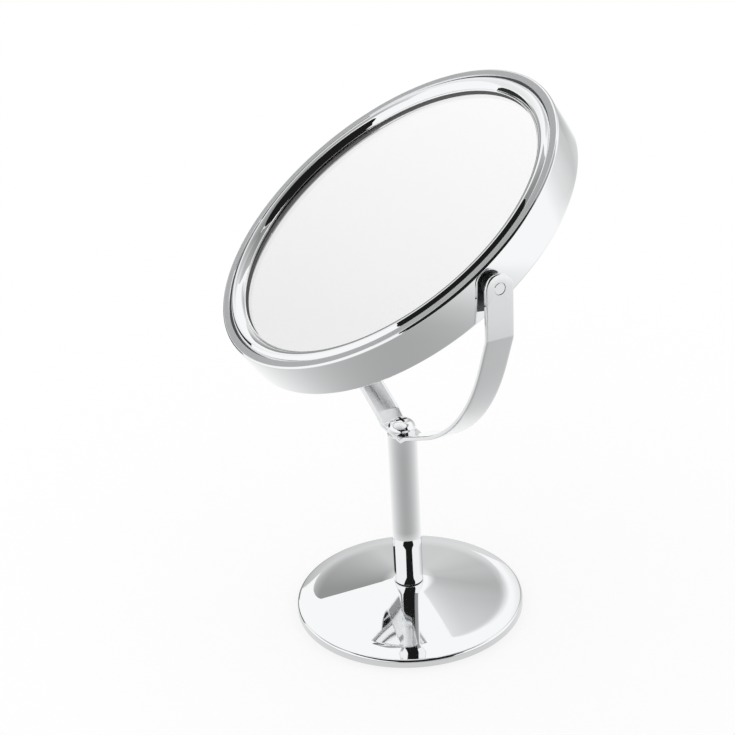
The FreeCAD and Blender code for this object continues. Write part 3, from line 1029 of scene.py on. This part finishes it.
def hang(mesh: BMesh, name: str) -> None:
    """Makes a glowing sheet that shows only in reflections, where its points' tones paint light and shade.

    Args:
        mesh: its shape, with a tone at each point; it is freed.
        name: its name.
    """
    piece = as_object(mesh, name)
    material = empty_material(name)
    material.cycles.emission_sampling = "NONE"
    tree = material.node_tree
    tone = add(tree, "Attribute", attribute_name="tone")
    glow = add(tree, "Emission", {"Strength": tone.outputs["Fac"]})
    add(tree, "OutputMaterial", {"Surface": glow})
    piece.data.materials.append(material)
    piece.visible_camera = piece.visible_diffuse = piece.visible_shadow = False


HEAD_EYE, BASE_EYE = 132.0 * MM, 5.0 * MM
FAR = 3.0


@dataclass(frozen=True)
class Panel:
    """A glowing sheet that shows only in reflections and paints them: a dark opening or the shade of a grey wall.

    It is given as columns, seen from an eye point on the post's axis: the azimuth from the camera's own, the
    lower and upper elevation, all in degrees, and the tone at each of the two ends.
    """

    name: str
    columns: tuple[tuple[float, float, float, float, float], ...]
    eye: float = HEAD_EYE
    distance: float = 0.4

    def corner(self, azimuth: float, elevation: float) -> Vector:
        """Works out a corner's place.

        Args:
            azimuth: its azimuth from the eye point, in degrees.
            elevation: its elevation, in degrees.

        Returns:
            The place.
        """
        turn, rise = math.radians(azimuth), math.radians(elevation)
        level = math.cos(rise)
        way = Vector((math.sin(turn) * level, -math.cos(turn) * level, math.sin(rise)))
        return UP * self.eye + way * self.distance

    def build(self, camera_azimuth: float) -> None:
        """Hangs the panel.

        Args:
            camera_azimuth: the camera's azimuth, in degrees.
        """
        mesh = bmesh.new()
        tone = mesh.verts.layers.float.new("tone")
        feet = [mesh.verts.new(self.corner(camera_azimuth + column[0], column[1])) for column in self.columns]
        edges = [mesh.edges.new(pair) for pair in zip(feet, feet[1:])]
        made = bmesh.ops.extrude_edge_only(mesh, edges=edges)["geom"]
        tops = {edge.other_vert(vert): vert for vert in made if isinstance(vert, BMVert)
                for edge in vert.link_edges if edge.other_vert(vert) in feet}
        for foot, (azimuth, _, high, low_tone, high_tone) in zip(feet, self.columns):
            tops[foot].co = self.corner(camera_azimuth + azimuth, high)
            foot[tone], tops[foot][tone] = low_tone, high_tone
        hang(mesh, self.name)


PANELS = (
    # A dark sheet that paints the tent's opening by the camera into reflections: the black in the beads, the
    # screw and the post's foot.
    Panel("painted_tent_opening", tuple((azimuth, low, 89.0, 0.012, 0.012) for azimuth, low in (
        (-115, 62), (-88, 45), (-70, 39), (-51, 30), (-35, 15), (-19, 0), (-12, -18),
        (33, -18), (38, 5), (51, 18), (55, 40), (55, 80)))),
    # A grey glowing sheet that paints the shade of the tent's far side into reflections: the grey of the dish's back.
    Panel("painted_rear_wall_shade", (
        (224, -3, 8, 1.0, 1.0), (215, -3, 14, 0.42, 0.48), (209, -3, 20, 0.38, 0.38), (204, -3, 28, 0.32, 0.30),
        (197, -3, 30, 0.33, 0.31), (190, -3, 31, 0.44, 0.43), (183, -3, 32, 0.60, 0.66), (178, -3, 32, 0.60, 0.75),
        (172, -3, 30, 0.58, 0.75), (166, -3, 28, 0.47, 0.60), (160, -3, 28, 0.43, 0.47), (150, -3, 28, 0.46, 0.49),
        (140, -3, 28, 0.58, 0.70), (128, -3, 28, 0.60, 0.80), (112, -3, 24, 0.74, 0.85), (103, -3, 20, 0.86, 0.95),
        (95, -3, 16, 1.0, 1.0)), BASE_EYE, FAR),
    # A glowing sheet that paints where that side meets the floor, in shade: paler towards the dish's edge.
    Panel("painted_wall_foot_shade", (
        (165, -0.3, -0.2, 1.0, 1.0), (155, -0.3, 8, 0.9, 0.46), (146, -0.3, 8, 0.85, 0.52), (140, -0.3, 8, 0.9, 0.58),
        (128, -0.3, 8, 0.95, 0.6), (112, -0.3, 8, 1.0, 0.74), (103, -0.3, 8, 1.0, 0.86), (95, -0.3, 8, 1.0, 1.0)),
        BASE_EYE, 1.0),
    # A dark sheet low at the left that paints a dark reflection: the patch on the bead at the upper right.
    Panel("painted_left_gap", tuple((azimuth, -12.5, high, 0.03, 0.03) for azimuth, high in (
        (-119, 2), (-123, 9), (-128, 10), (-140, 6), (-152, 0), (-165, -8), (-172, -10))), HEAD_EYE, 0.6),
    # A grey glowing sheet that paints the shade of a fold of the tent: the grey fan on the dish's right.
    Panel("painted_right_wall_shade", (
        (172, 28, 33, 0.85, 1.0), (166, 28, 44, 0.62, 1.0), (163, 28, 52, 0.54, 0.9), (160, 28, 57, 0.48, 0.8),
        (156, 28, 58, 0.46, 0.74), (150, 28, 58, 0.46, 0.74), (140, 28, 58, 1.0, 1.0)), BASE_EYE, FAR),
    # A glowing sheet that paints what the glass reflects, just short of white.
    Panel("left_sheet", (
        (-120, 10, 37, 0.86, 0.86), (-139, 10, 37, 0.84, 0.90), (-152, 10, 37, 0.98, 1.0),
        (-160, 10, 37, 1.0, 1.0)), HEAD_EYE, FAR),
    # Its upper end, and a sheet that paints the shade of the tent's unlit ceiling: the grey in the bead at the left.
    Panel("left_sheet_head", (
        (-95, 37, 44, 0.6, 0.42), (-120, 37, 44, 0.86, 0.42), (-136, 37, 44, 0.89, 0.45), (-146, 37, 44, 0.95, 0.7),
        (-153, 37, 44, 1.0, 1.0)), HEAD_EYE, FAR),
    Panel("painted_left_ceiling_shade", (
        (-95, 44, 88, 0.42, 0.22), (-120, 44, 88, 0.42, 0.22), (-136, 44, 88, 0.45, 0.22),
        (-146, 44, 88, 0.7, 0.25), (-153, 44, 88, 1.0, 0.3)), HEAD_EYE, FAR),
    # A sheet that paints the shade of the tent's unlit ceiling on the right, grey to dark overhead.
    Panel("painted_right_ceiling_shade", (
        (55, 45, 88, 0.3, 0.25), (75, 48, 88, 0.33, 0.25), (95, 50, 88, 0.34, 0.25), (112, 50, 88, 0.42, 0.25),
        (125, 60, 88, 0.5, 0.25), (140, 64, 88, 0.5, 0.25), (160, 64, 88, 0.5, 0.25), (185, 60, 88, 0.55, 0.25),
        (207, 52, 88, 0.8, 0.25)), HEAD_EYE, FAR),
)


def ease(value: float, low: float, high: float) -> float:
    """Returns a smooth step from 0 at the low end to 1 at the high end."""
    share = min(max((value - low) / (high - low), 0.0), 1.0)
    return share * share * (3.0 - 2.0 * share)


@dataclass
class Studio:
    """Floor, light and camera."""

    floor_size: float = 12.0
    floor_albedo: float = 0.3
    camera_place: tuple[float, float, float] = (0.361179, -0.175671, 0.268539)
    azimuth: float = math.radians(65.4534)
    elevation: float = math.radians(24.3964)
    roll: float = math.radians(-3.2558)
    lens: float = 69.776
    sensor: float = 36.0
    nearest: float = 0.01
    mat_rings: tuple[float, ...] = (0.03, 0.041, 0.044, 0.047, 0.1, 0.16, 0.2, 0.25, 0.3, 0.35, 0.4, 0.5, 0.6, 0.7)
    mat_segments: int = 72
    mat_lift: float = 0.1 * MM
    # The painted floor shade that the mat shows in reflections: its tone, its slope darker towards the camera and its
    # painted shadow before the object, with where each fades.
    mat_level: float = 0.875
    mat_slope: float = 0.125
    mat_shade: float = 0.17
    mat_shade_least: float = 0.35
    mat_shade_start: tuple[float, float] = (0.041, 0.047)
    mat_shade_end: tuple[float, float] = (0.16, 0.40)
    mat_end: tuple[float, float] = (0.35, 0.68)

    def mat_tone(self, place: Vector) -> float:
        """Works out how pale the mat's painted floor shade is: grey before the object, where its shadow is painted,
        and white far off.

        Args:
            place: a place on the floor.

        Returns:
            The tone, where 1 is white.
        """
        reach = math.hypot(place.x, place.y)
        ahead = (place.x * math.sin(self.azimuth) - place.y * math.cos(self.azimuth)) / reach
        shade = self.mat_shade_least + (1.0 - self.mat_shade_least) * ease(reach, *self.mat_shade_start)
        shade *= 1.0 - ease(reach, *self.mat_shade_end)
        tone = self.mat_level - self.mat_slope * ahead - self.mat_shade * shade * (1.0 + ahead)
        return tone + (1.0 - tone) * ease(reach, *self.mat_end)

    def mat(self) -> None:
        """Lays a glowing mat that shows only in reflections and paints the floor's shade and the object's shadow into
        them.
        """
        section = Section(self.mat_rings[0], self.mat_lift)
        for reach in self.mat_rings[1:]:
            section.line(reach, self.mat_lift)
        mesh = section.spun(self.mat_segments)
        tone = mesh.verts.layers.float.new("tone")
        for vert in mesh.verts:
            vert[tone] = self.mat_tone(vert.co)
        hang(mesh, "painted_floor_shade")

    def floor(self) -> None:
        """Lays a pale floor that is white to the eye and in the chrome, and keeps the object's shadow."""
        mesh = bmesh.new()
        bmesh.ops.create_grid(mesh, x_segments=2, y_segments=2, size=self.floor_size)
        floor = as_object(mesh, "floor")
        material = empty_material("White paper sweep")
        tree = material.node_tree
        tone = self.floor_albedo
        paper = add(tree, "BsdfDiffuse", {"Color": (tone, tone, tone, 1.0)})
        rays = add(tree, "LightPath")
        seen = rays.outputs["Is Camera Ray"]
        for other in ("Is Glossy Ray", "Is Transmission Ray"):
            seen = add(tree, "Math", {0: seen, 1: rays.outputs[other]}, operation="MAXIMUM")
        lift = add(tree, "Math", {0: seen, 1: 1.0 - tone}, operation="MULTIPLY")
        glow = add(tree, "Emission", {"Strength": lift})
        both = add(tree, "AddShader", {0: paper, 1: glow})
        add(tree, "OutputMaterial", {"Surface": both})
        floor.data.materials.append(material)

    def light(self) -> None:
        """Surrounds the object with even white light."""
        world = bpy.data.worlds.new("White tent")
        bpy.context.scene.world = world
        world.use_nodes = True
        tree = world.node_tree
        tree.nodes.clear()
        tent = add(tree, "Background", {"Color": (1.0, 1.0, 1.0, 1.0), "Strength": 1.0})
        add(tree, "OutputWorld", {"Surface": tent})

    def camera(self) -> None:
        """Puts the camera where the photograph was taken from."""
        data = bpy.data.cameras.new("camera")
        data.lens = self.lens
        data.sensor_width = self.sensor
        data.clip_start = self.nearest
        camera = bpy.data.objects.new("camera", data)
        bpy.context.scene.collection.objects.link(camera)
        level = math.cos(self.elevation)
        back = Vector((math.sin(self.azimuth) * level, -math.cos(self.azimuth) * level, math.sin(self.elevation)))
        camera.rotation_mode = "QUATERNION"
        camera.location = self.camera_place
        camera.rotation_quaternion = (-back).to_track_quat("-Z", "Y") @ Quaternion(UP, self.roll)
        bpy.context.scene.camera = camera

    def build(self) -> None:
        """Sets the stage."""
        self.floor()
        self.mat()
        self.light()
        for panel in PANELS:
            panel.build(math.degrees(self.azimuth))
        self.camera()
        bpy.context.scene.view_settings.view_transform = "Standard"


def main() -> None:
    """Builds the mirror and its stage."""
    logging.basicConfig(level=logging.INFO, format="%(message)s")
    base = Base()
    base.build()
    Post().build(base.top)
    Yoke().build()
    Head().build()
    dress_kept_nodes()
    Studio().build()


if __name__ == "__main__":
    main()
